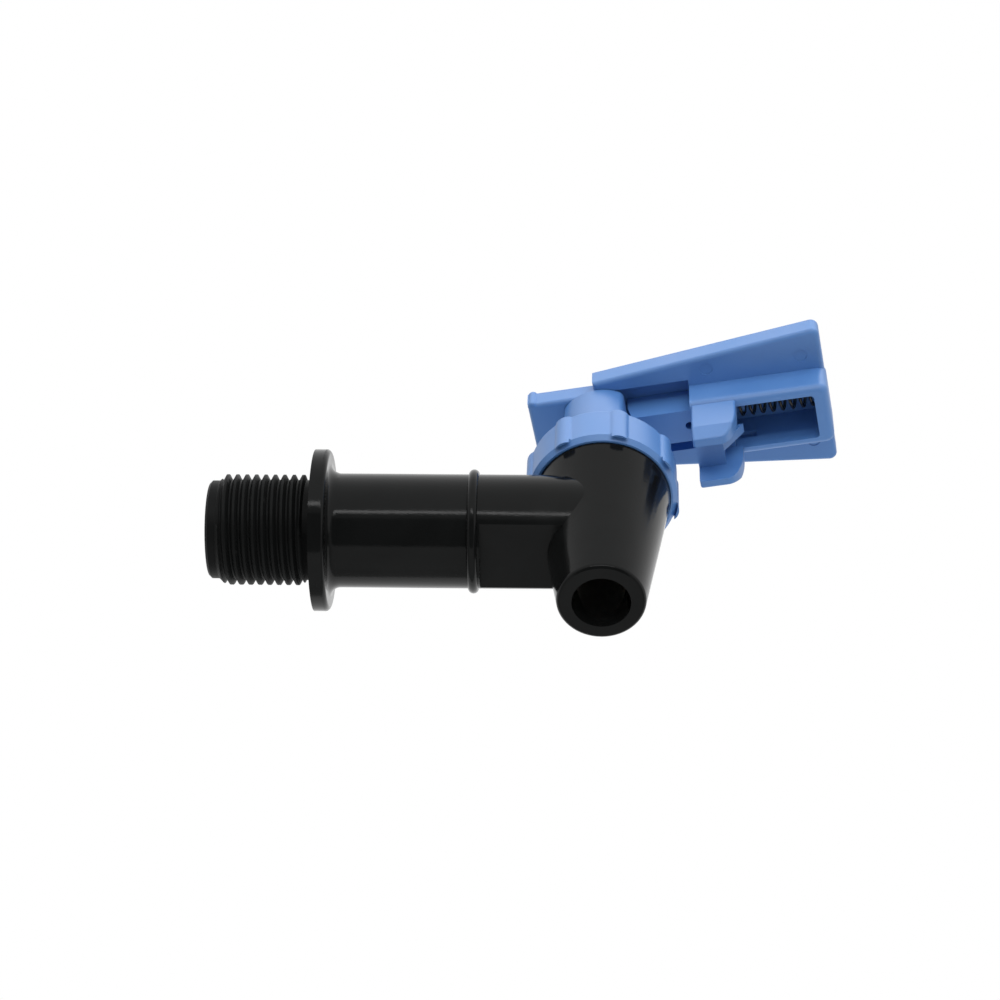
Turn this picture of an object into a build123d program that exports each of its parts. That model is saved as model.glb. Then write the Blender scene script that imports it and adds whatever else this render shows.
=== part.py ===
from build123d import *
import math
import os

os.makedirs("parts", exist_ok=True)

# Self-closing cooler faucet with a safety lever. Millimetres.
# The origin is on the shank axis at the flange's seat face, +X runs along the shank to the spout.

# Shank
SHANK_LENGTH = 20.2
THREAD_MAJOR_R = 10.62
PILOT_R = 9.42
PILOT_LENGTH = 1.9
PILOT_CHAMFER = 0.5

# Flange and tube
FLANGE_R = 15.55
FLANGE_THICKNESS = 3.0
FLANGE_ROUND = 0.9
FLANGE_FILLET = 2.0
FLANGE_STEP = 0.2
TUBE_R = 10.95
INLET_R = 5.5
BEAD_X = 30.5
BEAD_WIDTH = 2.0
BEAD_HEIGHT = 0.95
FLAT_START_X = 31.9
FLAT_DEPTH = 2.89

# Spout body, about the upright axis at SPOUT_X
SPOUT_X = 55.05
SHOULDER_R = 13.2
SHOULDER_RISE = 0.1
NECK_R = 11.9
NECK_HEIGHT = 5.55
MOUTH_Z = -22.4
MOUTH_R = 8.3
MOUTH_ROUND = 1.0
SPOUT_BORE_R = 5.55
CHAMBER_R = 8.6
CHAMBER_FLOOR_Z = -7.0
SEAT_LIP_HEIGHT = 1.3
SEAT_LIP_WIDTH = 1.0

# Bonnet: the screwed cap with its tower
BONNET_TURN = 10.0
CAP_GAP = 0.15
CAP_HEIGHT = 9.3
CAP_R = 14.5
CAP_MOUTH_R = 13.3
CAP_MOUTH_DEPTH = 1.2
CAP_ROUND = 0.5
CAP_RIM = 0.4
CAP_THREAD_GAP = 0.12
LOBE_COUNT = 8
LOBE_WIDTH = 3.9
LOBE_CENTRE_R = 13.9
LOBE_REACH = 15.2
LOBE_ROUND = 0.8
LOBE_SCOOP_R = 14.75
LOBE_SCOOP_HEIGHT = 1.3
TOWER_R = 9.0
TOWER_FRONT = 5.2
TOWER_REAR = 7.1
TOWER_TOP_Z = 36.5
TOWER_ROUND = 1.5
SPRING_WELL_R = 3.8
TOWER_ROOF = 3.5
STEM_R = 2.0
STEM_GAP = 0.06

# Valve inside
STEM_HEAD_R = 4.4
STEM_HEAD_THICKNESS = 1.6
STEM_NECK_R = 1.6
COLLAR_Z = 8.0
COLLAR_R = 3.5
COLLAR_THICKNESS = 1.6
CUP_R = 7.4
CUP_WALL = 1.5
CUP_LIP_HEIGHT = 3.2
SEAT_CLEARANCE = 0.05
CLOSING_WIRE_R = 0.4
CLOSING_COIL_R = 2.95
CLOSING_TURNS = 7
SEAL_HEIGHT = 1.8
SEAL_WIDTH = 2.0
WIRE_SIDES = 8

# Lever
LEVER_GAP = 0.2
LEVER_THICKNESS = 4.8
LEVER_TAIL = 14.3
LEVER_TAIL_HALF_WIDTH = 7.45
LEVER_START = -0.6
LEVER_START_HALF_WIDTH = 10.4
LEVER_REACH = 45.4
LEVER_END_HALF_WIDTH = 15.8
LEVER_EDGE_ROUND = 0.9
LEVER_CORNER_ROUND = 1.5
TAIL_LIP_R = 1.0
TAIL_LIP_PROUD = 0.4
TAIL_LIP_ROUND = 0.6
LEVER_ROOF = 1.2
WELL_HALF_WIDTH = 6.9
WELL_REAR = 4.4
CHANNEL_START = 3.4
CHANNEL_HALF_WIDTH = 8.2
HOUSING_START = 18.4
HOUSING_HALF_WIDTH = 6.8
HOUSING_DEPTH = 7.1
HOUSING_OVERHANG = 0.3
HOUSING_CORNER_ROUND = 1.8
HOUSING_END_WALL = 2.9
HOUSING_ROUND = 1.6
POCKET_HALF_WIDTH = 4.95
POCKET_ROUND = 0.8
STEM_PIN_R = 0.9
STEM_PIN_RISE = 1.5
STEM_PIN_HALF_LENGTH = 5.6
PIN_BOSS_THICKNESS = 2.4
PIN_BOSS_HALF_LENGTH = 2.6
MOULD_MARK_R = 1.35
MOULD_MARK_DEPTH = 0.15
MOULD_MARK_FIRST = 22.3
MOULD_MARK_LAST = 41.2
MOULD_MARK_ACROSS = 10.2

# Stem eye for the pin
EYE_HALF_LENGTH = 2.4
EYE_HALF_WIDTH = 2.4
EYE_SLOT_TRAVEL = 0.6
EYE_TOP_WALL = 0.5

# Trigger
TRIGGER_START = 18.6
TRIGGER_END = 27.4
TRIGGER_DROP = 18.2
TRIGGER_GAP = 0.3
TRIGGER_WALL = 1.6
TRIGGER_WEB_END = 24.0
TRIGGER_WEB_RISE = 5.0
TRIGGER_CORNER_S = 3.4
TRIGGER_CORNER_Z = 8.0
TRIGGER_BEVEL_OUT = 1.1
TRIGGER_BEVEL_UP = 3.2
TRIGGER_RIB_WIDTH = 2.0
TRIGGER_RIB_REACH = 4.2
TRIGGER_HEAD_END = 26.0
TRIGGER_TRAVEL = 4.0
TRIGGER_EDGE_ROUND = 0.5
RAIL_DROP = 3.3
RAIL_HEIGHT = 1.5
RAIL_DEPTH = 0.9
NOSE_TIP = 5.5
NOSE_SLANT = 0.9
NOSE_HALF_WIDTH = 3.65
NOSE_DROP = 4.0
NOSE_HOLE_R = 0.85
NOSE_HOLE_S = 17.5
NOSE_HOLE_DEPTH = 3.0
SPRING_PEG_R = 1.3
SPRING_PEG_LENGTH = 2.6
TRIGGER_COIL_R = 1.9
TRIGGER_WIRE_R = 0.32
TRIGGER_TURNS = 8
TRIGGER_SPRING_RISE = 0.8

shoulder_z = TUBE_R + SHOULDER_RISE
neck_top_z = shoulder_z + NECK_HEIGHT
cap_bottom_z = shoulder_z + CAP_GAP
cap_top_z = cap_bottom_z + CAP_HEIGHT
spring_well_top_z = TOWER_TOP_Z - TOWER_ROOF
lever_under_z = TOWER_TOP_Z + LEVER_GAP
trigger_bottom_z = lever_under_z - TRIGGER_DROP
rail_z = lever_under_z - RAIL_DROP
nose_bottom_z = lever_under_z - NOSE_DROP
trigger_spring_z = lever_under_z + TRIGGER_SPRING_RISE
lever_top_z = lever_under_z + LEVER_THICKNESS
housing_bottom_z = lever_under_z - HOUSING_DEPTH
housing_end = LEVER_REACH + HOUSING_OVERHANG
pocket_end = housing_end - HOUSING_END_WALL
seat_z = CHAMBER_FLOOR_Z + SEAT_LIP_HEIGHT
cup_bottom_z = seat_z + SEAT_CLEARANCE
stem_pin_z = lever_under_z + STEM_PIN_RISE

turn = math.radians(BONNET_TURN)
along = (math.cos(turn), -math.sin(turn), 0)
across = (math.sin(turn), math.cos(turn), 0)
spout_side = Plane(origin=(SPOUT_X, 0, 0), x_dir=(1, 0, 0), z_dir=(0, -1, 0))
lever_flat = Plane(origin=(SPOUT_X, 0, 0), x_dir=along, z_dir=(0, 0, 1))
lever_side = Plane(origin=(SPOUT_X, 0, 0), x_dir=along, z_dir=(-across[0], -across[1], 0))
spout_axis = Axis((SPOUT_X, 0, 0), (0, 0, 1))


def lever_end_on(s: float) -> Plane:
    """Plane square to the lever at the distance s from the spout axis, its normal along the lever."""
    return Plane(
        origin=(SPOUT_X + s * along[0], s * along[1], 0), x_dir=across, z_dir=along
    )


# Faucet body: shank, flange, tube and spout are one moulding
thread_start_x = -SHANK_LENGTH + PILOT_LENGTH
flange_fillet = min(FLANGE_FILLET, FLANGE_R - TUBE_R - FLANGE_ROUND - FLANGE_STEP)
with BuildPart() as faucet_body:
    with BuildSketch(Plane.XY) as shank_half:
        with BuildLine():
            Polyline(
                (-SHANK_LENGTH, 0),
                (-SHANK_LENGTH, PILOT_R - PILOT_CHAMFER),
                (-SHANK_LENGTH + PILOT_CHAMFER, PILOT_R),
                (thread_start_x, PILOT_R),
                (thread_start_x + THREAD_MAJOR_R - PILOT_R, THREAD_MAJOR_R),
                (0, THREAD_MAJOR_R),
                (0, FLANGE_R),
                (FLANGE_THICKNESS, FLANGE_R),
                (FLANGE_THICKNESS, TUBE_R),
                (SPOUT_X, TUBE_R),
                (SPOUT_X, 0),
                close=True,
            )
        make_face()
        rim_corner = shank_half.vertices().sort_by_distance((FLANGE_THICKNESS, FLANGE_R))[0]
        fillet(rim_corner, FLANGE_ROUND)
        flange_root = shank_half.vertices().sort_by_distance((FLANGE_THICKNESS, TUBE_R))[0]
        fillet(flange_root, flange_fillet)
    revolve(axis=Axis.X)
    with BuildSketch(Plane.XY):
        with Locations((BEAD_X, TUBE_R)):
            Ellipse(BEAD_WIDTH / 2, BEAD_HEIGHT)
    revolve(axis=Axis.X)
    with BuildSketch(Plane.XY.offset(FLAT_DEPTH - TUBE_R)):
        with BuildLine():
            Polyline(
                (FLAT_START_X, -TUBE_R),
                (SPOUT_X + TUBE_R, -TUBE_R),
                (SPOUT_X + TUBE_R, TUBE_R),
                (FLAT_START_X, TUBE_R),
                close=True,
            )
        make_face()
    extrude(amount=-TUBE_R, mode=Mode.SUBTRACT)
    with BuildSketch(spout_side) as spout_half:
        with BuildLine():
            Polyline(
                (0, MOUTH_Z),
                (MOUTH_R, MOUTH_Z),
                (SHOULDER_R, shoulder_z),
                (NECK_R, shoulder_z),
                (NECK_R, neck_top_z),
                (0, neck_top_z),
                close=True,
            )
        make_face()
        mouth_corner = spout_half.vertices().sort_by_distance((MOUTH_R, MOUTH_Z))[0]
        fillet(mouth_corner, MOUTH_ROUND)
    revolve(axis=spout_axis)
    with BuildSketch(spout_side):
        with BuildLine():
            Polyline(
                (0, MOUTH_Z),
                (SPOUT_BORE_R, MOUTH_Z),
                (SPOUT_BORE_R, seat_z),
                (SPOUT_BORE_R + SEAT_LIP_WIDTH, seat_z),
                (SPOUT_BORE_R + SEAT_LIP_WIDTH, CHAMBER_FLOOR_Z),
                (CHAMBER_R, CHAMBER_FLOOR_Z),
                (CHAMBER_R, neck_top_z),
                (0, neck_top_z),
                close=True,
            )
        make_face()
    revolve(axis=spout_axis, mode=Mode.SUBTRACT)
    with BuildSketch(Plane.YZ.offset(-SHANK_LENGTH)):
        Circle(INLET_R)
    extrude(amount=SHANK_LENGTH + SPOUT_X - CHAMBER_R + SEAT_LIP_WIDTH, mode=Mode.SUBTRACT)
faucet_body.part.label = "faucet_body"
export_step(faucet_body.part, "parts/faucet_body.step")

# Bonnet: lobed cap and the flat-sided tower that the lever rocks on
with BuildPart() as bonnet:
    with BuildSketch(lever_flat.offset(cap_bottom_z)) as cap_outline:
        Circle(CAP_R)
        with PolarLocations(LOBE_CENTRE_R, LOBE_COUNT, start_angle=180 / LOBE_COUNT):
            Ellipse(LOBE_REACH - LOBE_CENTRE_R, LOBE_WIDTH / 2)
        fillet(cap_outline.vertices(), LOBE_ROUND)
    extrude(amount=cap_top_z - cap_bottom_z)
    fillet(bonnet.faces().sort_by(Axis.Z)[-1].outer_wire().edges(), CAP_ROUND)
    with BuildSketch(spout_side):
        with BuildLine():
            Polyline(
                (CAP_MOUTH_R + CAP_RIM, cap_bottom_z),
                (LOBE_SCOOP_R, cap_bottom_z),
                (LOBE_SCOOP_R, cap_bottom_z + LOBE_SCOOP_HEIGHT),
                close=True,
            )
        make_face()
    revolve(axis=spout_axis, mode=Mode.SUBTRACT)
    with BuildSketch(lever_flat.offset(cap_top_z)) as tower_outline:
        Circle(TOWER_R)
        with Locations(((TOWER_FRONT - TOWER_REAR) / 2, 0)):
            Rectangle(TOWER_FRONT + TOWER_REAR, 2 * TOWER_R, mode=Mode.INTERSECT)
        fillet(tower_outline.vertices(), TOWER_ROUND)
    extrude(amount=TOWER_TOP_Z - cap_top_z)
    with BuildSketch(spout_side):
        with BuildLine():
            Polyline(
                (0, cap_bottom_z),
                (CAP_MOUTH_R, cap_bottom_z),
                (CAP_MOUTH_R, cap_bottom_z + CAP_MOUTH_DEPTH),
                (NECK_R + CAP_THREAD_GAP, cap_bottom_z + CAP_MOUTH_DEPTH),
                (NECK_R + CAP_THREAD_GAP, neck_top_z + SEAL_HEIGHT),
                (SPRING_WELL_R, neck_top_z + SEAL_HEIGHT),
                (SPRING_WELL_R, spring_well_top_z),
                (STEM_R + STEM_GAP, spring_well_top_z),
                (STEM_R + STEM_GAP, TOWER_TOP_Z),
                (0, TOWER_TOP_Z),
                close=True,
            )
        make_face()
    revolve(axis=spout_axis, mode=Mode.SUBTRACT)
bonnet.part.label = "bonnet"
export_step(bonnet.part, "parts/bonnet.step")

# Bonnet seal: rubber ring pinched between the neck and the cap's roof
with BuildPart() as bonnet_seal:
    with BuildSketch(spout_side):
        with Locations(((NECK_R + CHAMBER_R) / 2, neck_top_z + SEAL_HEIGHT / 2)):
            Rectangle(SEAL_WIDTH, SEAL_HEIGHT)
    revolve(axis=spout_axis)
bonnet_seal.part.label = "bonnet_seal"
export_step(bonnet_seal.part, "parts/bonnet_seal.step")

# Valve stem: turned rod with a foot for the cup, a collar for the spring and a flat eye at the top
eye_bottom_z = TOWER_TOP_Z + LEVER_GAP / 2
eye_top_z = stem_pin_z + STEM_PIN_R + STEM_GAP + EYE_TOP_WALL
cup_floor_z = cup_bottom_z + CUP_WALL
with BuildPart() as valve_stem:
    with BuildSketch(spout_side):
        with BuildLine():
            Polyline(
                (0, cup_floor_z),
                (STEM_HEAD_R, cup_floor_z),
                (STEM_HEAD_R, cup_floor_z + STEM_HEAD_THICKNESS),
                (STEM_NECK_R, cup_floor_z + STEM_HEAD_THICKNESS),
                (STEM_NECK_R, cup_floor_z + 2 * STEM_HEAD_THICKNESS),
                (STEM_R, cup_floor_z + 2 * STEM_HEAD_THICKNESS),
                (STEM_R, COLLAR_Z),
                (COLLAR_R, COLLAR_Z),
                (COLLAR_R, COLLAR_Z + COLLAR_THICKNESS),
                (STEM_R, COLLAR_Z + COLLAR_THICKNESS),
                (STEM_R, eye_top_z),
                (0, eye_top_z),
                close=True,
            )
        make_face()
    revolve(axis=spout_axis)
    with BuildSketch(lever_flat.offset(eye_bottom_z)) as eye_outline:
        Rectangle(2 * EYE_HALF_LENGTH, 2 * EYE_HALF_WIDTH)
        fillet(eye_outline.vertices(), EYE_HALF_WIDTH / 3)
    extrude(amount=eye_top_z - eye_bottom_z)
    with BuildSketch(lever_side):
        with Locations((EYE_SLOT_TRAVEL / 2, stem_pin_z)):
            SlotCenterToCenter(EYE_SLOT_TRAVEL, 2 * (STEM_PIN_R + STEM_GAP))
    extrude(amount=EYE_HALF_LENGTH, both=True, mode=Mode.SUBTRACT)
valve_stem.part.label = "valve_stem"
export_step(valve_stem.part, "parts/valve_stem.step")

# Seat cup: silicone cup buttoned over the stem's foot
with BuildPart() as seat_cup:
    with BuildSketch(spout_side):
        with BuildLine():
            Polyline(
                (0, cup_bottom_z),
                (CUP_R, cup_bottom_z),
                (CUP_R, cup_bottom_z + CUP_LIP_HEIGHT + CUP_WALL),
                (CUP_R - CUP_WALL, cup_bottom_z + CUP_LIP_HEIGHT + CUP_WALL),
                (CUP_R - CUP_WALL, cup_floor_z + STEM_HEAD_THICKNESS + CUP_WALL),
                (STEM_NECK_R, cup_floor_z + STEM_HEAD_THICKNESS + CUP_WALL),
                (STEM_NECK_R, cup_floor_z + STEM_HEAD_THICKNESS),
                (STEM_HEAD_R, cup_floor_z + STEM_HEAD_THICKNESS),
                (STEM_HEAD_R, cup_floor_z),
                (0, cup_floor_z),
                close=True,
            )
        make_face()
    revolve(axis=spout_axis)
seat_cup.part.label = "seat_cup"
export_step(seat_cup.part, "parts/seat_cup.step")


def coil_height(length: float, wire_r: float) -> float:
    """Height between the wire's centres at the two ends of a coil spring of this length."""
    return length - 2 * wire_r


# Closing spring: from the stem's collar up to the roof of the tower's well
closing_bottom_z = COLLAR_Z + COLLAR_THICKNESS
closing_rise = coil_height(spring_well_top_z - closing_bottom_z, CLOSING_WIRE_R)
with BuildPart() as closing_spring:
    with BuildLine() as closing_path:
        Helix(
            pitch=closing_rise / CLOSING_TURNS,
            height=closing_rise,
            radius=CLOSING_COIL_R,
            center=(SPOUT_X, 0, closing_bottom_z + CLOSING_WIRE_R),
        )
    with BuildSketch(Plane(origin=closing_path.line @ 0, z_dir=closing_path.line % 0)):
        RegularPolygon(CLOSING_WIRE_R, WIRE_SIDES)
    sweep(is_frenet=True)
closing_spring.part.label = "closing_spring"
export_step(closing_spring.part, "parts/closing_spring.step")

# Lever: tapered thumb plate over a slim tail, hollow over the tower, with the trigger's housing below
roof_z = lever_top_z - LEVER_ROOF
with BuildPart() as lever:
    with BuildSketch(lever_flat.offset(lever_under_z)) as lever_outline:
        with BuildLine():
            Polyline(
                (LEVER_START, -LEVER_START_HALF_WIDTH),
                (LEVER_REACH, -LEVER_END_HALF_WIDTH),
                (LEVER_REACH, LEVER_END_HALF_WIDTH),
                (LEVER_START, LEVER_START_HALF_WIDTH),
                (LEVER_START, LEVER_TAIL_HALF_WIDTH),
                (-LEVER_TAIL, LEVER_TAIL_HALF_WIDTH),
                (-LEVER_TAIL, -LEVER_TAIL_HALF_WIDTH),
                (LEVER_START, -LEVER_TAIL_HALF_WIDTH),
                close=True,
            )
        make_face()
        plate_corners = lever_outline.vertices().group_by(Axis.X)
        fillet(plate_corners[-1], LEVER_CORNER_ROUND)
        fillet(plate_corners[0] + plate_corners[1], LEVER_EDGE_ROUND)
    extrude(amount=LEVER_THICKNESS)
    fillet(lever.faces().filter_by(Axis.Z).edges(), LEVER_EDGE_ROUND)
    lip_across = LEVER_TAIL_HALF_WIDTH + TAIL_LIP_PROUD - TAIL_LIP_R
    for side in (-lip_across, lip_across):
        lip_foot = lever_flat.from_local_coords((TAIL_LIP_R - LEVER_TAIL, side, lever_under_z))
        with BuildSketch(Plane(origin=lip_foot, x_dir=along, z_dir=lever_side.z_dir)) as lip_half:
            with Locations((TAIL_LIP_R / 2, LEVER_THICKNESS / 2)):
                Rectangle(TAIL_LIP_R, LEVER_THICKNESS)
            fillet(lip_half.vertices().group_by(Axis.X)[-1], TAIL_LIP_ROUND)
        revolve(axis=Axis(lip_foot, (0, 0, 1)))
    housing_length = housing_end - HOUSING_START
    with BuildSketch(lever_flat.offset(housing_bottom_z)) as housing_outline:
        with Locations((HOUSING_START + housing_length / 2, 0)):
            Rectangle(housing_length, 2 * HOUSING_HALF_WIDTH)
        fillet(housing_outline.vertices().group_by(Axis.X)[-1], HOUSING_CORNER_ROUND)
    extrude(amount=HOUSING_DEPTH + LEVER_ROOF)
    housing_rim = lever.faces().sort_by(Axis.Z)[0].edges().sort_by(Axis.X)[1:]
    fillet(housing_rim, HOUSING_ROUND)
    pocket_length = pocket_end - HOUSING_START
    with BuildSketch(lever_flat.offset(housing_bottom_z)) as pocket_outline:
        with Locations((HOUSING_START + pocket_length / 2, 0)):
            Rectangle(pocket_length, 2 * POCKET_HALF_WIDTH)
        fillet(pocket_outline.vertices().group_by(Axis.X)[-1], POCKET_ROUND)
    extrude(amount=roof_z - housing_bottom_z, mode=Mode.SUBTRACT)
    groove_length = TRIGGER_HEAD_END + TRIGGER_TRAVEL + TRIGGER_GAP - HOUSING_START
    with BuildSketch(lever_flat.offset(rail_z - TRIGGER_GAP)):
        with Locations((HOUSING_START + groove_length / 2, 0)):
            Rectangle(groove_length, 2 * (POCKET_HALF_WIDTH + RAIL_DEPTH))
    extrude(amount=RAIL_HEIGHT + 2 * TRIGGER_GAP, mode=Mode.SUBTRACT)
    with BuildSketch(lever_flat.offset(lever_under_z)):
        with Locations(((HOUSING_START - WELL_REAR) / 2, 0)):
            Rectangle(HOUSING_START + WELL_REAR, 2 * WELL_HALF_WIDTH)
        with Locations(((HOUSING_START + CHANNEL_START) / 2, 0)):
            Rectangle(HOUSING_START - CHANNEL_START, 2 * CHANNEL_HALF_WIDTH)
    extrude(amount=roof_z - lever_under_z, mode=Mode.SUBTRACT)
    with BuildSketch(lever_flat.offset(lever_under_z)):
        with GridLocations(0, 2 * (WELL_HALF_WIDTH - PIN_BOSS_THICKNESS / 2), 1, 2):
            Rectangle(2 * PIN_BOSS_HALF_LENGTH, PIN_BOSS_THICKNESS)
    extrude(amount=roof_z - lever_under_z)
    with BuildSketch(lever_side):
        with Locations((0, stem_pin_z)):
            Circle(STEM_PIN_R)
    extrude(amount=STEM_PIN_HALF_LENGTH, both=True, mode=Mode.SUBTRACT)
    with BuildSketch(lever_flat.offset(lever_under_z)):
        for mark in (MOULD_MARK_FIRST, MOULD_MARK_LAST):
            with Locations((mark, -MOULD_MARK_ACROSS), (mark, MOULD_MARK_ACROSS)):
                Circle(MOULD_MARK_R)
    extrude(amount=MOULD_MARK_DEPTH, mode=Mode.SUBTRACT)
lever.part.label = "lever"
export_step(lever.part, "parts/lever.step")

# Stem pin: steel pin through the stem's eye, held in the lever's two bosses
with BuildPart() as stem_pin:
    with BuildSketch(lever_side):
        with Locations((0, stem_pin_z)):
            Circle(STEM_PIN_R)
    extrude(amount=STEM_PIN_HALF_LENGTH, both=True)
stem_pin.part.label = "stem_pin"
export_step(stem_pin.part, "parts/stem_pin.step")

# Trigger: finger saddle with two cheeks, a head that slides in the housing and a locking nose
trigger_top_z = housing_bottom_z - TRIGGER_GAP
head_top_z = roof_z - TRIGGER_GAP
head_half_width = POCKET_HALF_WIDTH - TRIGGER_GAP
web_z = trigger_bottom_z + TRIGGER_WEB_RISE
with BuildPart() as trigger:
    with BuildSketch(lever_side):
        with BuildLine():
            Polyline(
                (TRIGGER_END, trigger_bottom_z + TRIGGER_CORNER_Z),
                (TRIGGER_END, trigger_top_z),
                (TRIGGER_START, trigger_top_z),
                (TRIGGER_START, trigger_bottom_z),
                (TRIGGER_END - TRIGGER_CORNER_S, trigger_bottom_z),
            )
            EllipticalCenterArc(
                (TRIGGER_END - TRIGGER_CORNER_S, trigger_bottom_z + TRIGGER_CORNER_Z),
                TRIGGER_CORNER_S,
                TRIGGER_CORNER_Z,
                start_angle=270,
                arc_size=90,
            )
        make_face()
    extrude(amount=HOUSING_HALF_WIDTH, both=True)
    bevel_top_z = trigger_bottom_z + TRIGGER_BEVEL_UP
    foot_half_width = HOUSING_HALF_WIDTH - TRIGGER_BEVEL_OUT
    with BuildSketch(lever_end_on(TRIGGER_START)):
        with BuildLine():
            Polyline(
                (-foot_half_width, trigger_bottom_z),
                (foot_half_width, trigger_bottom_z),
                (HOUSING_HALF_WIDTH, bevel_top_z),
                (HOUSING_HALF_WIDTH, trigger_top_z),
                (-HOUSING_HALF_WIDTH, trigger_top_z),
                (-HOUSING_HALF_WIDTH, bevel_top_z),
                close=True,
            )
        make_face()
    extrude(amount=TRIGGER_END - TRIGGER_START, mode=Mode.INTERSECT)
    seam_edges = trigger.faces().sort_by(Axis.Z)[-1].edges()
    fillet(trigger.edges() - seam_edges, TRIGGER_EDGE_ROUND)
    saddle_half_width = foot_half_width - TRIGGER_WALL
    with BuildSketch(lever_side):
        with BuildLine():
            Polyline(
                (TRIGGER_START, trigger_bottom_z),
                (TRIGGER_END, trigger_bottom_z),
                (TRIGGER_END, trigger_top_z),
                (TRIGGER_WEB_END, trigger_top_z),
                (TRIGGER_WEB_END, web_z),
                (TRIGGER_START, web_z),
                close=True,
            )
        make_face()
    extrude(amount=saddle_half_width, both=True, mode=Mode.SUBTRACT)
    with BuildSketch(lever_side):
        with BuildLine():
            Polyline(
                (TRIGGER_WEB_END, web_z),
                (TRIGGER_WEB_END + TRIGGER_RIB_REACH, trigger_top_z),
                (TRIGGER_WEB_END, trigger_top_z),
                close=True,
            )
        make_face()
    extrude(amount=TRIGGER_RIB_WIDTH / 2, both=True)
    with BuildSketch(lever_side):
        with BuildLine():
            Polyline(
                (TRIGGER_START, trigger_top_z),
                (TRIGGER_HEAD_END, trigger_top_z),
                (TRIGGER_HEAD_END, head_top_z),
                (TRIGGER_START, head_top_z),
                close=True,
            )
        make_face()
    extrude(amount=head_half_width, both=True)
    with BuildSketch(lever_flat.offset(rail_z)):
        with Locations(((TRIGGER_START + TRIGGER_HEAD_END) / 2, 0)):
            Rectangle(TRIGGER_HEAD_END - TRIGGER_START, 2 * (head_half_width + RAIL_DEPTH))
    extrude(amount=RAIL_HEIGHT)
    with BuildSketch(lever_side):
        with BuildLine():
            Polyline(
                (NOSE_TIP + NOSE_SLANT, nose_bottom_z),
                (TRIGGER_START, nose_bottom_z),
                (TRIGGER_START, head_top_z),
                (NOSE_TIP, head_top_z),
                (NOSE_TIP, TOWER_TOP_Z),
                close=True,
            )
        make_face()
    extrude(amount=NOSE_HALF_WIDTH, both=True)
    with BuildSketch(lever_flat.offset(nose_bottom_z)):
        with Locations((NOSE_HOLE_S, 0)):
            Circle(NOSE_HOLE_R)
    extrude(amount=NOSE_HOLE_DEPTH, mode=Mode.SUBTRACT)
    with BuildSketch(lever_end_on(TRIGGER_HEAD_END)):
        with Locations((0, trigger_spring_z)):
            Circle(SPRING_PEG_R)
    extrude(amount=SPRING_PEG_LENGTH)
trigger.part.label = "trigger"
export_step(trigger.part, "parts/trigger.step")

# Trigger spring: from the trigger's head to the end wall of the pocket, round the head's peg
spring_rise = coil_height(pocket_end - TRIGGER_HEAD_END, TRIGGER_WIRE_R)
spring_start = TRIGGER_HEAD_END + TRIGGER_WIRE_R
with BuildPart() as trigger_spring:
    with BuildLine() as trigger_path:
        Helix(
            pitch=spring_rise / TRIGGER_TURNS,
            height=spring_rise,
            radius=TRIGGER_COIL_R,
            center=(SPOUT_X + spring_start * along[0], spring_start * along[1], trigger_spring_z),
            direction=along,
        )
    with BuildSketch(Plane(origin=trigger_path.line @ 0, z_dir=trigger_path.line % 0)):
        RegularPolygon(TRIGGER_WIRE_R, WIRE_SIDES)
    sweep(is_frenet=True)
trigger_spring.part.label = "trigger_spring"
export_step(trigger_spring.part, "parts/trigger_spring.step")
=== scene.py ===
"""Looks of a self-closing cooler faucet: black moulded body, blue bonnet, lever and safety trigger."""

import logging
import math
from dataclasses import dataclass, field
from enum import Enum

import bpy
from mathutils import Matrix, Vector
from mathutils.kdtree import KDTree

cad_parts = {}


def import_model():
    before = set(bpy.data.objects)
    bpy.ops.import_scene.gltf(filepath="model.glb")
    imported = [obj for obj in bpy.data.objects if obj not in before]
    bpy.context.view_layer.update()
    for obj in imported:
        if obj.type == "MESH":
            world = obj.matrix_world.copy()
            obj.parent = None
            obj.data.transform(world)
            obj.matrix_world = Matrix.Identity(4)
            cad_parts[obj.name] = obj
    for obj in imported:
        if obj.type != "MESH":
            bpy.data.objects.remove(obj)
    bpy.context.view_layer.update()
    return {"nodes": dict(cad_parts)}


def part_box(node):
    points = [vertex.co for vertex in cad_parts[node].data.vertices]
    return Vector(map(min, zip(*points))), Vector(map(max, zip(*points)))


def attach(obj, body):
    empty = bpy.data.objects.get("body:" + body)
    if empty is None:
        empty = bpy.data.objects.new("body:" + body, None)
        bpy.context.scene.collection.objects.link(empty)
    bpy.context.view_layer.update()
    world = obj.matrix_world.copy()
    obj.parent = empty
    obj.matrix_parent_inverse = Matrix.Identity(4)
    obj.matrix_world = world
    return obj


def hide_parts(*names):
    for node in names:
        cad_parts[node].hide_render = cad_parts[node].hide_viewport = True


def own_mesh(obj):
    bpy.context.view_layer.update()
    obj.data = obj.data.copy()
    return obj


log = logging.getLogger("faucet")

MM = 0.001
MERGE = 0.001 * MM
SAME_PLACE = 0.002 * MM
LEVER_TURN = 10.0
TRIGGER_TRAVEL = 4 * MM
STEM_TRAVEL = 1 * MM
BLUE_NODES = ("bonnet", "lever", "trigger")
NOISE_LOW = 0.3
NOISE_HIGH = 0.7
SCATTER_RADIUS = (0.4, 0.7, 1.0)
SCATTER_DEPTH = 0.8 * MM
Colour = tuple[float, float, float]
Outline = list[tuple[float, float]]


class Slot(Enum):
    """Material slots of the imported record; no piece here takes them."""

    BLACK = "black_plastic"
    STEEL = "steel"


def linear_channel(value: int) -> float:
    """Turn one display channel into its linear value.

    Args:
        value: The channel from 0 to 255.

    Returns:
        The linear value from 0 to 1.
    """
    share = value / 255
    if share <= 0.04045:
        return share / 12.92
    return ((share + 0.055) / 1.055) ** 2.4


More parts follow.
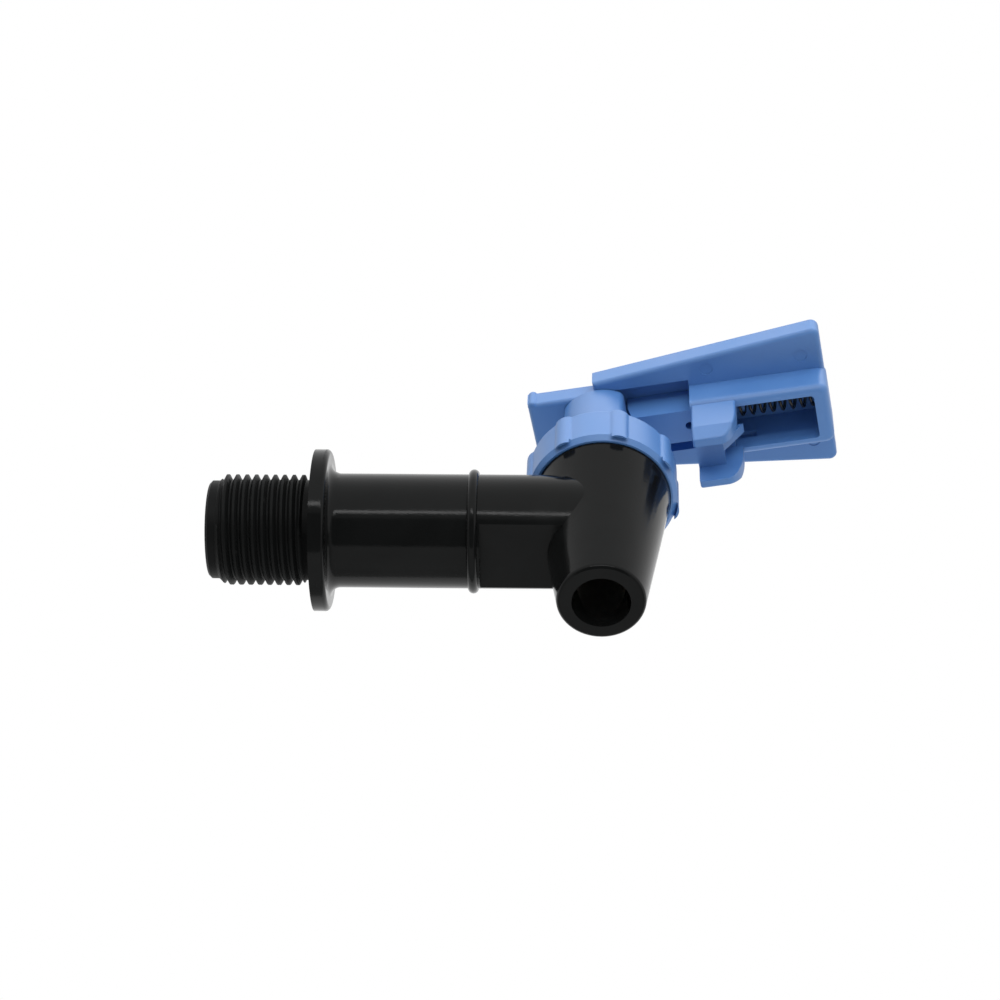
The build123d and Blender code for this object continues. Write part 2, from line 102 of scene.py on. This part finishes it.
def linear(red: int, green: int, blue: int) -> Colour:
    """Turn a display colour, each channel from 0 to 255, into the linear values that a shader takes."""
    return linear_channel(red), linear_channel(green), linear_channel(blue)


@dataclass(frozen=True)
class MouldedFinish:
    """Injection-moulded plastic with faint grain, mottling and uneven gloss.

    Args:
        name: Name of the material.
        colour: Linear base colour.
        shade: Linear colour of the slightly darker patches.
        roughness: Mean roughness.
        roughness_swing: How far the roughness moves up and down over the surface.
        specular: Specular level of the plastic.
        grain_depth: Bump height of the spark-eroded grain in metres.
        grain_scale: Grain cells in a metre.
        subsurface: Share of light that scatters under the skin.
    """

    name: str
    colour: Colour
    shade: Colour
    roughness: float
    roughness_swing: float
    specular: float
    grain_depth: float
    grain_scale: float
    subsurface: float = 0.0


@dataclass(frozen=True)
class MetalFinish:
    """Drawn steel with uneven gloss.

    Args:
        name: Name of the material.
        colour: Linear base colour.
        roughness: Mean roughness.
        roughness_swing: How far the roughness moves up and down over the surface.
        grain_scale: Grain cells in a metre.
    """

    name: str
    colour: Colour
    roughness: float
    roughness_swing: float
    grain_scale: float


@dataclass(frozen=True)
class MattFinish:
    """Plain grey surface of the studio.

    Args:
        name: Name of the material.
        grey: Linear grey from 0 to 1.
        roughness: Roughness.
        specular: Specular level.
    """

    name: str
    grey: float
    roughness: float
    specular: float


BLACK_BODY = MouldedFinish(
    name="black_moulded_body",
    colour=linear(24, 25, 25),
    shade=linear(20, 21, 21),
    roughness=0.13,
    roughness_swing=0.04,
    specular=0.14,
    grain_depth=0.000012,
    grain_scale=1900.0,
)
BLACK_SHANK = MouldedFinish(
    name="black_moulded_shank",
    colour=BLACK_BODY.colour,
    shade=BLACK_BODY.shade,
    roughness=0.5,
    roughness_swing=0.08,
    specular=0.09,
    grain_depth=BLACK_BODY.grain_depth,
    grain_scale=BLACK_BODY.grain_scale,
)
BLUE_LEVER = MouldedFinish(
    name="blue_moulded_lever",
    colour=linear(83, 132, 195),
    shade=linear(78, 127, 191),
    roughness=0.46,
    roughness_swing=0.06,
    specular=0.9,
    grain_depth=0.000010,
    grain_scale=2400.0,
    subsurface=0.05,
)
WHITE_STEM = MouldedFinish(
    name="white_moulded_stem",
    colour=linear(226, 226, 220),
    shade=linear(214, 214, 206),
    roughness=0.45,
    roughness_swing=0.05,
    specular=0.4,
    grain_depth=0.000008,
    grain_scale=2000.0,
)
SILICONE_CUP = MouldedFinish(
    name="silicone_cup",
    colour=linear(212, 208, 198),
    shade=linear(200, 195, 184),
    roughness=0.6,
    roughness_swing=0.08,
    specular=0.3,
    grain_depth=0.000010,
    grain_scale=1500.0,
    subsurface=0.1,
)
SPRING_STEEL = MetalFinish(
    name="spring_steel",
    colour=linear(128, 120, 106),
    roughness=0.32,
    roughness_swing=0.1,
    grain_scale=3000.0,
)
PALE_FLOOR = MattFinish(name="pale_floor", grey=0.86, roughness=0.8, specular=0.5)
DARK_FLAG = MattFinish(name="dark_flag", grey=0.004, roughness=0.9, specular=0.0)


class ShaderGroups:
    """Node groups that the finishes share."""

    def __init__(self) -> None:
        """Build each group once."""
        self.grain: bpy.types.NodeTree = self._moulded_grain()

    @staticmethod
    def _socket(
        tree: bpy.types.NodeTree, name: str, direction: str, kind: str, value: float | None = None
    ) -> None:
        """Add one named socket to a group.

        Args:
            tree: The node group.
            name: Name of the socket.
            direction: INPUT or OUTPUT.
            kind: Socket type such as NodeSocketFloat.
            value: Default value of an input.
        """
        socket = tree.interface.new_socket(name, in_out=direction, socket_type=kind)
        if value is not None:
            socket.default_value = value

    @staticmethod
    def _spread(tree: bpy.types.NodeTree) -> bpy.types.Node:
        """Add a node that stretches the middle of a noise over a range.

        Args:
            tree: The node group.

        Returns:
            The Map Range node.
        """
        spread = tree.nodes.new("ShaderNodeMapRange")
        spread.inputs["From Min"].default_value = NOISE_LOW
        spread.inputs["From Max"].default_value = NOISE_HIGH
        return spread

    def _moulded_grain(self) -> bpy.types.NodeTree:
        """Make the group that gives a surface its grain, mottling and uneven gloss.

        Returns:
            The node group, with outputs Height, Mottle and Roughness.
        """
        tree = bpy.data.node_groups.new("moulded_grain", "ShaderNodeTree")
        self._socket(tree, "Vector", "INPUT", "NodeSocketVector")
        self._socket(tree, "Grain Scale", "INPUT", "NodeSocketFloat", 2000.0)
        self._socket(tree, "Flow Scale", "INPUT", "NodeSocketFloat", 90.0)
        self._socket(tree, "Gloss Low", "INPUT", "NodeSocketFloat", 0.2)
        self._socket(tree, "Gloss High", "INPUT", "NodeSocketFloat", 0.3)
        for name in ("Height", "Mottle", "Roughness"):
            self._socket(tree, name, "OUTPUT", "NodeSocketFloat")
        nodes, links = tree.nodes, tree.links
        entry = nodes.new("NodeGroupInput")
        leave = nodes.new("NodeGroupOutput")
        grain = nodes.new("ShaderNodeTexNoise")
        grain.inputs["Detail"].default_value = 3.0
        grain.inputs["Roughness"].default_value = 0.6
        flow = nodes.new("ShaderNodeTexNoise")
        flow.inputs["Detail"].default_value = 4.0
        flow.inputs["Distortion"].default_value = 0.6
        mottle = self._spread(tree)
        gloss = self._spread(tree)
        links.new(entry.outputs["Vector"], grain.inputs["Vector"])
        links.new(entry.outputs["Vector"], flow.inputs["Vector"])
        links.new(entry.outputs["Grain Scale"], grain.inputs["Scale"])
        links.new(entry.outputs["Flow Scale"], flow.inputs["Scale"])
        links.new(flow.outputs["Fac"], mottle.inputs["Value"])
        links.new(flow.outputs["Fac"], gloss.inputs["Value"])
        links.new(entry.outputs["Gloss Low"], gloss.inputs["To Min"])
        links.new(entry.outputs["Gloss High"], gloss.inputs["To Max"])
        links.new(grain.outputs["Fac"], leave.inputs["Height"])
        links.new(mottle.outputs["Result"], leave.inputs["Mottle"])
        links.new(gloss.outputs["Result"], leave.inputs["Roughness"])
        return tree


class Paintbox:
    """Makes the materials of the faucet and its studio."""

    def __init__(self) -> None:
        """Start with the shared groups."""
        self.groups = ShaderGroups()

    @staticmethod
    def _start(name: str) -> tuple[bpy.types.Material, bpy.types.Node]:
        """Make an empty material with a Principled shader.

        Args:
            name: Name of the material.

        Returns:
            The material and its Principled node.
        """
        material = bpy.data.materials.new(name)
        material.use_nodes = True
        return material, material.node_tree.nodes["Principled BSDF"]

    def _grain(self, material: bpy.types.Material, finish: MouldedFinish | MetalFinish) -> bpy.types.Node:
        """Place the grain group in a material, on Object coordinates.

        Args:
            material: The material.
            finish: The finish's values.

        Returns:
            The group's node.
        """
        nodes, links = material.node_tree.nodes, material.node_tree.links
        place = nodes.new("ShaderNodeTexCoord")
        grain = nodes.new("ShaderNodeGroup")
        grain.node_tree = self.groups.grain
        grain.inputs["Grain Scale"].default_value = finish.grain_scale
        grain.inputs["Gloss Low"].default_value = finish.roughness - finish.roughness_swing
        grain.inputs["Gloss High"].default_value = finish.roughness + finish.roughness_swing
        links.new(place.outputs["Object"], grain.inputs["Vector"])
        return grain

    def moulded(self, finish: MouldedFinish) -> bpy.types.Material:
        """Make a moulded plastic.

        Args:
            finish: The finish's values.

        Returns:
            The material.
        """
        material, shader = self._start(finish.name)
        nodes, links = material.node_tree.nodes, material.node_tree.links
        grain = self._grain(material, finish)
        tint = nodes.new("ShaderNodeMix")
        tint.data_type = "RGBA"
        tint.inputs["A"].default_value = (*finish.shade, 1.0)
        tint.inputs["B"].default_value = (*finish.colour, 1.0)
        bump = nodes.new("ShaderNodeBump")
        bump.inputs["Distance"].default_value = finish.grain_depth
        links.new(grain.outputs["Mottle"], tint.inputs["Factor"])
        links.new(tint.outputs["Result"], shader.inputs["Base Color"])
        links.new(grain.outputs["Roughness"], shader.inputs["Roughness"])
        links.new(grain.outputs["Height"], bump.inputs["Height"])
        links.new(bump.outputs["Normal"], shader.inputs["Normal"])
        shader.inputs["Specular IOR Level"].default_value = finish.specular
        shader.inputs["Subsurface Weight"].default_value = finish.subsurface
        shader.inputs["Subsurface Radius"].default_value = SCATTER_RADIUS
        shader.inputs["Subsurface Scale"].default_value = SCATTER_DEPTH
        return material

    def metal(self, finish: MetalFinish) -> bpy.types.Material:
        """Make a drawn steel.

        Args:
            finish: The finish's values.

        Returns:
            The material.
        """
        material, shader = self._start(finish.name)
        grain = self._grain(material, finish)
        material.node_tree.links.new(grain.outputs["Roughness"], shader.inputs["Roughness"])
        shader.inputs["Base Color"].default_value = (*finish.colour, 1.0)
        shader.inputs["Metallic"].default_value = 1.0
        return material

    def matt(self, finish: MattFinish) -> bpy.types.Material:
        """Make a plain grey.

        Args:
            finish: The finish's values.

        Returns:
            The material.
        """
        material, shader = self._start(finish.name)
        shader.inputs["Base Color"].default_value = (finish.grey, finish.grey, finish.grey, 1.0)
        shader.inputs["Roughness"].default_value = finish.roughness
        shader.inputs["Specular IOR Level"].default_value = finish.specular
        return material


def dress(piece: bpy.types.Object, material: bpy.types.Material) -> None:
    """Give a piece one material all over."""
    piece.data.materials.clear()
    piece.data.materials.append(material)


def pick(piece: bpy.types.Object) -> None:
    """Select one object alone and make it active."""
    bpy.ops.object.select_all(action="DESELECT")
    piece.select_set(True)
    bpy.context.view_layer.objects.active = piece


def copy_of(node: bpy.types.Object, name: str) -> bpy.types.Object:
    """Copy a solid into a new piece with merged corners.

    Args:
        node: The solid's object.
        name: Name of the new piece.

    Returns:
        The new piece.
    """
    piece = bpy.data.objects.new(name, node.data.copy())
    bpy.context.scene.collection.objects.link(piece)
    pick(piece)
    bpy.ops.object.mode_set(mode="EDIT")
    bpy.ops.mesh.select_all(action="SELECT")
    bpy.ops.mesh.remove_doubles(threshold=MERGE)
    bpy.ops.object.mode_set(mode="OBJECT")
    return piece


@dataclass
class FaucetBody:
    """The black moulding: shank with its thread, flange, tube and spout.

    Args:
        paint: Material of the moulding.
        thread_paint: Material of the shank.
        pitch: Thread pitch, 14 turns to the inch.
        root_radius: Radius at the bottom of the thread.
        major_radius: Radius over the crests.
        crest_share: Share of the pitch that is crest.
        root_share: Share of the pitch that is root.
        relief_length: Length of the plain relief beside the flange.
        flange_gap: How far the relief stops short of the flange.
        clear: How far the cutters stand over the crests.
        steps: Facets in one turn of the thread.
        smooth_angle: Largest angle in degrees that still shades as one surface.
    """

    paint: bpy.types.Material
    thread_paint: bpy.types.Material
    pitch: float = 25.4 / 14 * MM
    root_radius: float = 9.62 * MM
    major_radius: float = 10.62 * MM
    crest_share: float = 0.24
    root_share: float = 0.16
    relief_length: float = 1.7 * MM
    flange_gap: float = 0.02 * MM
    clear: float = 0.6 * MM
    steps: int = 72
    smooth_angle: float = 28.0

    def _turned_cutter(self, name: str, outline: Outline, pitch: float, turns: int) -> bpy.types.Object:
        """Sweep an outline round the shank axis, as a ring or as a helix.

        Args:
            name: Name of the cutter.
            outline: Corners as (place along the shank, radius), in the plane primitive's vertex order.
            pitch: Advance in one turn, 0 for a ring.
            turns: Number of turns.

        Returns:
            The closed cutter.
        """
        bpy.ops.object.select_all(action="DESELECT")
        bpy.ops.mesh.primitive_plane_add(size=1.0)
        cutter = bpy.context.object
        cutter.name = name
        for vertex, (along, radius) in zip(cutter.data.vertices, outline):
            vertex.co = (along, 0.0, radius)
        bpy.ops.object.mode_set(mode="EDIT")
        bpy.ops.mesh.select_all(action="SELECT")
        bpy.ops.mesh.delete(type="ONLY_FACE")
        bpy.ops.object.mode_set(mode="OBJECT")
        screw = cutter.modifiers.new("turn", "SCREW")
        screw.axis = "X"
        screw.angle = 2 * math.pi
        screw.screw_offset = pitch
        screw.iterations = turns
        screw.steps = self.steps
        screw.render_steps = self.steps
        screw.use_merge_vertices = pitch == 0
        screw.merge_threshold = MERGE
        bpy.ops.object.modifier_apply(modifier=screw.name)
        bpy.ops.object.mode_set(mode="EDIT")
        bpy.ops.mesh.select_all(action="SELECT")
        bpy.ops.mesh.remove_doubles(threshold=MERGE)
        bpy.ops.mesh.select_all(action="DESELECT")
        bpy.ops.mesh.select_non_manifold()
        bpy.ops.mesh.fill_holes(sides=len(outline))
        bpy.ops.mesh.select_all(action="SELECT")
        bpy.ops.mesh.normals_make_consistent(inside=False)
        bpy.ops.object.mode_set(mode="OBJECT")
        return cutter

    def _thread_outline(self, start: float) -> Outline:
        """Find the corners of the groove between two crests.

        Args:
            start: Place along the shank of the groove's middle.

        Returns:
            The corners, root first.
        """
        half_root = self.pitch * self.root_share / 2
        half_top = self.pitch * (1 - self.crest_share) / 2
        slope = (half_top - half_root) / (self.major_radius - self.root_radius)
        half_top += slope * self.clear
        top_radius = self.major_radius + self.clear
        return [
            (start - half_root, self.root_radius),
            (start + half_root, self.root_radius),
            (start - half_top, top_radius),
            (start + half_top, top_radius),
        ]

    def _relief_outline(self) -> Outline:
        """Find the corners of the plain relief beside the flange.

        Returns:
            The corners, root first.
        """
        top_radius = self.major_radius + self.clear
        return [
            (-self.relief_length, self.root_radius),
            (-self.flange_gap, self.root_radius),
            (-self.relief_length - self.clear, top_radius),
            (-self.flange_gap, top_radius),
        ]

    @staticmethod
    def _keep_curves(piece: bpy.types.Object, solid: bpy.types.Object) -> None:
        """Give each corner that the cutters left in place the surface normal of the uncut solid.

        Args:
            piece: The threaded body.
            solid: The uncut solid.
        """
        uncut = solid.data
        corners = KDTree(len(uncut.loops))
        facing: list[Vector] = [Vector()] * len(uncut.loops)
        for face in uncut.polygons:
            for corner in face.loop_indices:
                corners.insert(uncut.vertices[uncut.loops[corner].vertex_index].co, corner)
                facing[corner] = face.normal
        corners.balance()
        normals = [corner.vector.copy() for corner in piece.data.corner_normals]
        for face in piece.data.polygons:
            for corner in face.loop_indices:
                place = piece.data.vertices[piece.data.loops[corner].vertex_index].co
                near = [index for _, index, _ in corners.find_range(place, SAME_PLACE)]
                if near:
                    best = max(near, key=lambda index: facing[index].dot(face.normal))
                    normals[corner] = uncut.corner_normals[best].vector.copy()
        piece.data.normals_split_custom_set(normals)

    def build(self) -> bpy.types.Object:
        """Cut the thread into a copy of the moulding.

        Returns:
            The threaded body.
        """
        solid = bpy.data.objects["faucet_body"]
        low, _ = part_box("faucet_body")
        piece = copy_of(solid, "threaded_body")
        turns = int((-low.x - self.relief_length) / self.pitch)
        start = -self.relief_length - turns * self.pitch
        groove = self._turned_cutter("groove", self._thread_outline(start), self.pitch, turns)
        relief = self._turned_cutter("relief", self._relief_outline(), 0.0, 1)
        for cutter in (groove, relief):
            pick(piece)
            cut = piece.modifiers.new("cut", "BOOLEAN")
            cut.operation = "DIFFERENCE"
            cut.solver = "EXACT"
            cut.object = cutter
            bpy.ops.object.modifier_apply(modifier=cut.name)
            bpy.data.objects.remove(cutter)
        pick(piece)
        bpy.ops.object.shade_smooth_by_angle(angle=math.radians(self.smooth_angle))
        self._keep_curves(piece, solid)
        dress(piece, self.paint)
        piece.data.materials.append(self.thread_paint)
        for face in piece.data.polygons:
            face.material_index = int(face.center.x < -SAME_PLACE)
        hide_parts("faucet_body")
        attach(piece, "body")
        return piece


@dataclass(frozen=True)
class CoilSpring:
    """A coil spring, copied smooth from its solid and set on the body that holds its seat.

    Args:
        node: Node of the spring's solid.
        body: Body that holds the spring's seat.
        joint: Joint that presses the spring; not used.
        towards: Direction from the pressed end to the seat; not used.
        travel: How far the joint's limit presses the spring; not used.
        smooth_angle: Largest angle in degrees that still shades as one surface.
    """

    node: str
    body: str
    joint: str
    towards: Vector
    travel: float
    smooth_angle: float = 60.0

    def build(self, paint: bpy.types.Material) -> bpy.types.Object:
        """Make the smooth spring that stands for its solid.

        Args:
            paint: Material of the wire.

        Returns:
            The spring.
        """
        piece = copy_of(bpy.data.objects[self.node], self.node + "_coil")
        bpy.ops.object.shade_smooth_by_angle(angle=math.radians(self.smooth_angle))
        dress(piece, paint)
        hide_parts(self.node)
        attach(piece, self.body)
        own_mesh(piece)
        return piece


@dataclass
class DressedSolids:
    """Solids whose shape is right and that only take a finish.

    Args:
        paints: Material of each node.
    """

    paints: dict[str, bpy.types.Material]

    def build(self, nodes: dict[str, bpy.types.Object]) -> list[bpy.types.Object]:
        """Dress each solid.

        Args:
            nodes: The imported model's objects by name.

        Returns:
            The dressed objects.
        """
        for name, paint in self.paints.items():
            dress(nodes[name], paint)
        return [nodes[name] for name in self.paints]


@dataclass(frozen=True)
class SoftLamp:
    """One rectangular lamp of the studio.

    Args:
        name: Name of the lamp.
        offset: Where it hangs, from the middle of the faucet.
        size: Its width and height.
        watts: Its power.
        mirrored: Whether glossy surfaces show it.
        aim: The point that it faces, from the middle of the faucet.
    """

    name: str
    offset: tuple[float, float, float]
    size: tuple[float, float]
    watts: float
    mirrored: bool = False
    aim: tuple[float, float, float] = (0.0, 0.0, 0.0)

    def hang(self, middle: Vector) -> bpy.types.Object:
        """Hang the lamp.

        Args:
            middle: The middle of the faucet.

        Returns:
            The lamp.
        """
        light = bpy.data.lights.new(self.name, "AREA")
        light.shape = "RECTANGLE"
        light.size, light.size_y = self.size
        light.energy = self.watts
        holder = bpy.data.objects.new(self.name, light)
        bpy.context.scene.collection.objects.link(holder)
        holder.visible_glossy = self.mirrored
        holder.location = middle + Vector(self.offset)
        facing = Vector(self.aim) - Vector(self.offset)
        holder.rotation_euler = facing.to_track_quat("-Z", "Y").to_euler()
        return holder


STRIP_LAMP = SoftLamp("strip_lamp", (0.03, -0.57, -0.186), (0.5, 0.05), 0.55, mirrored=True)
KEY_LAMP = SoftLamp("key_lamp", (0.042, -0.399, 0.56), (1.3, 0.4), 2.3, mirrored=True)
FRONT_LAMP = SoftLamp("front_lamp", (0.12, -0.58, 0.05), (0.9, 0.4), 1.5)
UNDER_LAMP = SoftLamp("under_lamp", (0.05, 0.62, -0.44), (0.5, 0.4), 2.2)


@dataclass
class Studio:
    """Camera at the photograph's angle, soft lamps, pale floor and white surround.

    Args:
        paints: Maker of the studio's materials.
        azimuth: Turn of the camera round the upright, in degrees.
        climb: How far the camera looks up, in degrees.
        roll: Turn of the camera about its own axis, in degrees.
        focal_pixels: Focal length in pixels of the photograph.
        frame_pixels: Width of the photograph.
        reference: Point on the shank axis that anchors the view.
        reference_pixel: Where that point lies in the photograph.
        pixel_size: Size of a pixel at the reference point.
        sensor: Width of the camera's sensor in millimetres.
        near: Nearest distance that the camera sees.
        middle: Middle of the faucet, which the lamps hang round.
        surround_light: Strength of the white surround as a light.
        floor_size: Width of the floor.
        floor_drop: Height of the floor below the origin.
        floor_lamp_height: Height of the floor's lamp above it.
        flag_back: How far the dark flag hangs behind the camera.
        flag_width: Width of the flag.
        flag_low: Lower edge of the flag, measured from the camera.
        flag_high: Upper edge of the flag, measured from the camera.
    """

    paints: Paintbox
    azimuth: float = 3.90
    climb: float = 55.02
    roll: float = 3.65
    focal_pixels: float = 2934.0
    frame_pixels: float = 1000.0
    reference: Vector = field(default_factory=lambda: Vector((9.24 * MM, 0, 0)))
    reference_pixel: tuple[float, float] = (363.5, 530.5)
    pixel_size: float = 0.192 * MM
    sensor: float = 36.0
    near: float = 0.01
    middle: Vector = field(default_factory=lambda: Vector((40 * MM, 0, 10 * MM)))
    surround_light: float = 0.36
    floor_size: float = 6.0
    floor_drop: float = 0.95
    floor_lamp_height: float = 0.35
    flag_back: float = 0.1
    flag_width: float = 1.2
    flag_low: float = -0.4
    flag_high: float = 0.31

    def _axes(self) -> tuple[Vector, Vector, Vector]:
        """Find the camera's directions.

        Returns:
            Right, up and ahead.
        """
        turn, climb, roll = (math.radians(angle) for angle in (self.azimuth, self.climb, self.roll))
        level = math.cos(climb)
        right = Vector((math.cos(turn), math.sin(turn), 0))
        ahead = Vector((-math.sin(turn) * level, math.cos(turn) * level, math.sin(climb)))
        up = right.cross(ahead)
        rolled_right = math.cos(roll) * right + math.sin(roll) * up
        rolled_up = math.cos(roll) * up - math.sin(roll) * right
        return rolled_right, rolled_up, ahead

    def camera(self) -> bpy.types.Object:
        """Place the camera.

        Returns:
            The camera.
        """
        right, up, ahead = self._axes()
        distance = self.focal_pixels * self.pixel_size
        centre = self.frame_pixels / 2
        aside = (self.reference_pixel[0] - centre) * self.pixel_size
        below = (self.reference_pixel[1] - centre) * self.pixel_size
        place = self.reference - distance * ahead - aside * right + below * up
        lens = bpy.data.cameras.new("camera")
        lens.sensor_width = self.sensor
        lens.lens = self.sensor * self.focal_pixels / self.frame_pixels
        lens.clip_start = self.near
        view = bpy.data.objects.new("camera", lens)
        bpy.context.scene.collection.objects.link(view)
        turned = Matrix((right, up, -ahead)).transposed().to_4x4()
        view.matrix_world = Matrix.Translation(place) @ turned
        bpy.context.scene.camera = view
        return view

    @staticmethod
    def _light_only(lamp: bpy.types.Object, lit: list[bpy.types.Object]) -> None:
        """Keep a lamp's light off all but some pieces, as flags beside it would.

        Args:
            lamp: The lamp.
            lit: The pieces that it still lights.
        """
        group = bpy.data.collections.new(lamp.name + "_lit")
        for piece in lit:
            group.objects.link(piece)
        lamp.light_linking.receiver_collection = group

    def surround(self) -> None:
        """Make the world: white where it is seen, dimmer where it only lights."""
        world = bpy.data.worlds.new("surround")
        world.use_nodes = True
        bpy.context.scene.world = world
        nodes, links = world.node_tree.nodes, world.node_tree.links
        back = nodes["Background"]
        back.inputs["Color"].default_value = (1, 1, 1, 1)
        rays = nodes.new("ShaderNodeLightPath")
        seen = nodes.new("ShaderNodeMath")
        seen.operation = "MAXIMUM"
        shown = nodes.new("ShaderNodeMath")
        shown.operation = "MAXIMUM"
        level = nodes.new("ShaderNodeMapRange")
        level.inputs["To Min"].default_value = self.surround_light
        level.inputs["To Max"].default_value = 1.0
        links.new(rays.outputs["Is Camera Ray"], seen.inputs[0])
        links.new(rays.outputs["Is Glossy Ray"], seen.inputs[1])
        links.new(seen.outputs[0], shown.inputs[0])
        links.new(rays.outputs["Is Transmission Ray"], shown.inputs[1])
        links.new(shown.outputs[0], level.inputs["Value"])
        links.new(level.outputs["Result"], back.inputs["Strength"])

    def floor(self) -> bpy.types.Object:
        """Lay the pale floor well below the faucet, which is held up by its shank.

        Returns:
            The floor.
        """
        bpy.ops.object.select_all(action="DESELECT")
        bpy.ops.mesh.primitive_plane_add(size=self.floor_size, location=(0, 0, -self.floor_drop))
        floor = bpy.context.object
        floor.name = "floor"
        dress(floor, self.paints.matt(PALE_FLOOR))
        return floor

    def flag(self, view: bpy.types.Object) -> bpy.types.Object:
        """Hang the dark flag behind the camera, which only the glossy mouldings show.

        Args:
            view: The camera.

        Returns:
            The flag.
        """
        bpy.ops.object.select_all(action="DESELECT")
        bpy.ops.mesh.primitive_plane_add(size=1.0)
        flag = bpy.context.object
        flag.name = "flag"
        half, low, high = self.flag_width / 2, self.flag_low, self.flag_high
        corners = ((-half, low), (half, low), (-half, high), (half, high))
        for vertex, (aside, rise) in zip(flag.data.vertices, corners):
            vertex.co = view.matrix_world @ Vector((aside, rise, self.flag_back))
        dress(flag, self.paints.matt(DARK_FLAG))
        flag.visible_camera = False
        flag.visible_diffuse = False
        flag.visible_shadow = False
        return flag

    def lamps(self, blue_pieces: list[bpy.types.Object]) -> None:
        """Hang the lamps round the faucet, and one over the floor.

        Args:
            blue_pieces: The pieces that the key lamp lights.
        """
        STRIP_LAMP.hang(self.middle)
        self._light_only(KEY_LAMP.hang(self.middle), blue_pieces)
        FRONT_LAMP.hang(self.middle)
        UNDER_LAMP.hang(self.middle)
        floor_z = -self.floor_drop - self.middle.z
        over_floor = (0.0, 0.0, floor_z + self.floor_lamp_height)
        SoftLamp("floor_lamp", over_floor, (2.0, 2.0), 4.0, aim=(0.0, 0.0, floor_z)).hang(self.middle)

    def build(self, blue_pieces: list[bpy.types.Object]) -> None:
        """Set up camera, world, floor, flag and lamps.

        Args:
            blue_pieces: The pieces that the key lamp lights.
        """
        view = self.camera()
        self.surround()
        self.floor()
        self.flag(view)
        self.lamps(blue_pieces)


def main() -> None:
    """Build the faucet's looks, piece by piece."""
    logging.basicConfig(level=logging.INFO, format="%(name)s: %(message)s")
    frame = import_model()
    bpy.context.scene.view_settings.view_transform = "Standard"
    nodes = frame["nodes"]
    paints = Paintbox()
    black = paints.moulded(BLACK_BODY)
    blue = paints.moulded(BLUE_LEVER)
    white = paints.moulded(WHITE_STEM)
    silicone = paints.moulded(SILICONE_CUP)
    steel = paints.metal(SPRING_STEEL)
    pieces = [FaucetBody(black, paints.moulded(BLACK_SHANK)).build()]
    turn = math.radians(LEVER_TURN)
    along_lever = Vector((math.cos(turn), -math.sin(turn), 0))
    upright = Vector((0, 0, 1))
    springs = (
        CoilSpring("trigger_spring", "lever", "trigger_pull", along_lever, TRIGGER_TRAVEL),
        CoilSpring("closing_spring", "body", "stem_lift", upright, STEM_TRAVEL),
    )
    pieces += [spring.build(steel) for spring in springs]
    finishes = {name: blue for name in BLUE_NODES}
    finishes |= {"stem_pin": steel, "valve_stem": white, "seat_cup": silicone, "bonnet_seal": silicone}
    pieces += DressedSolids(finishes).build(nodes)
    for piece in pieces:
        log.info("%s: %d faces", piece.name, len(piece.data.polygons))
    Studio(paints).build([nodes[name] for name in BLUE_NODES])


if __name__ == "__main__":
    main()
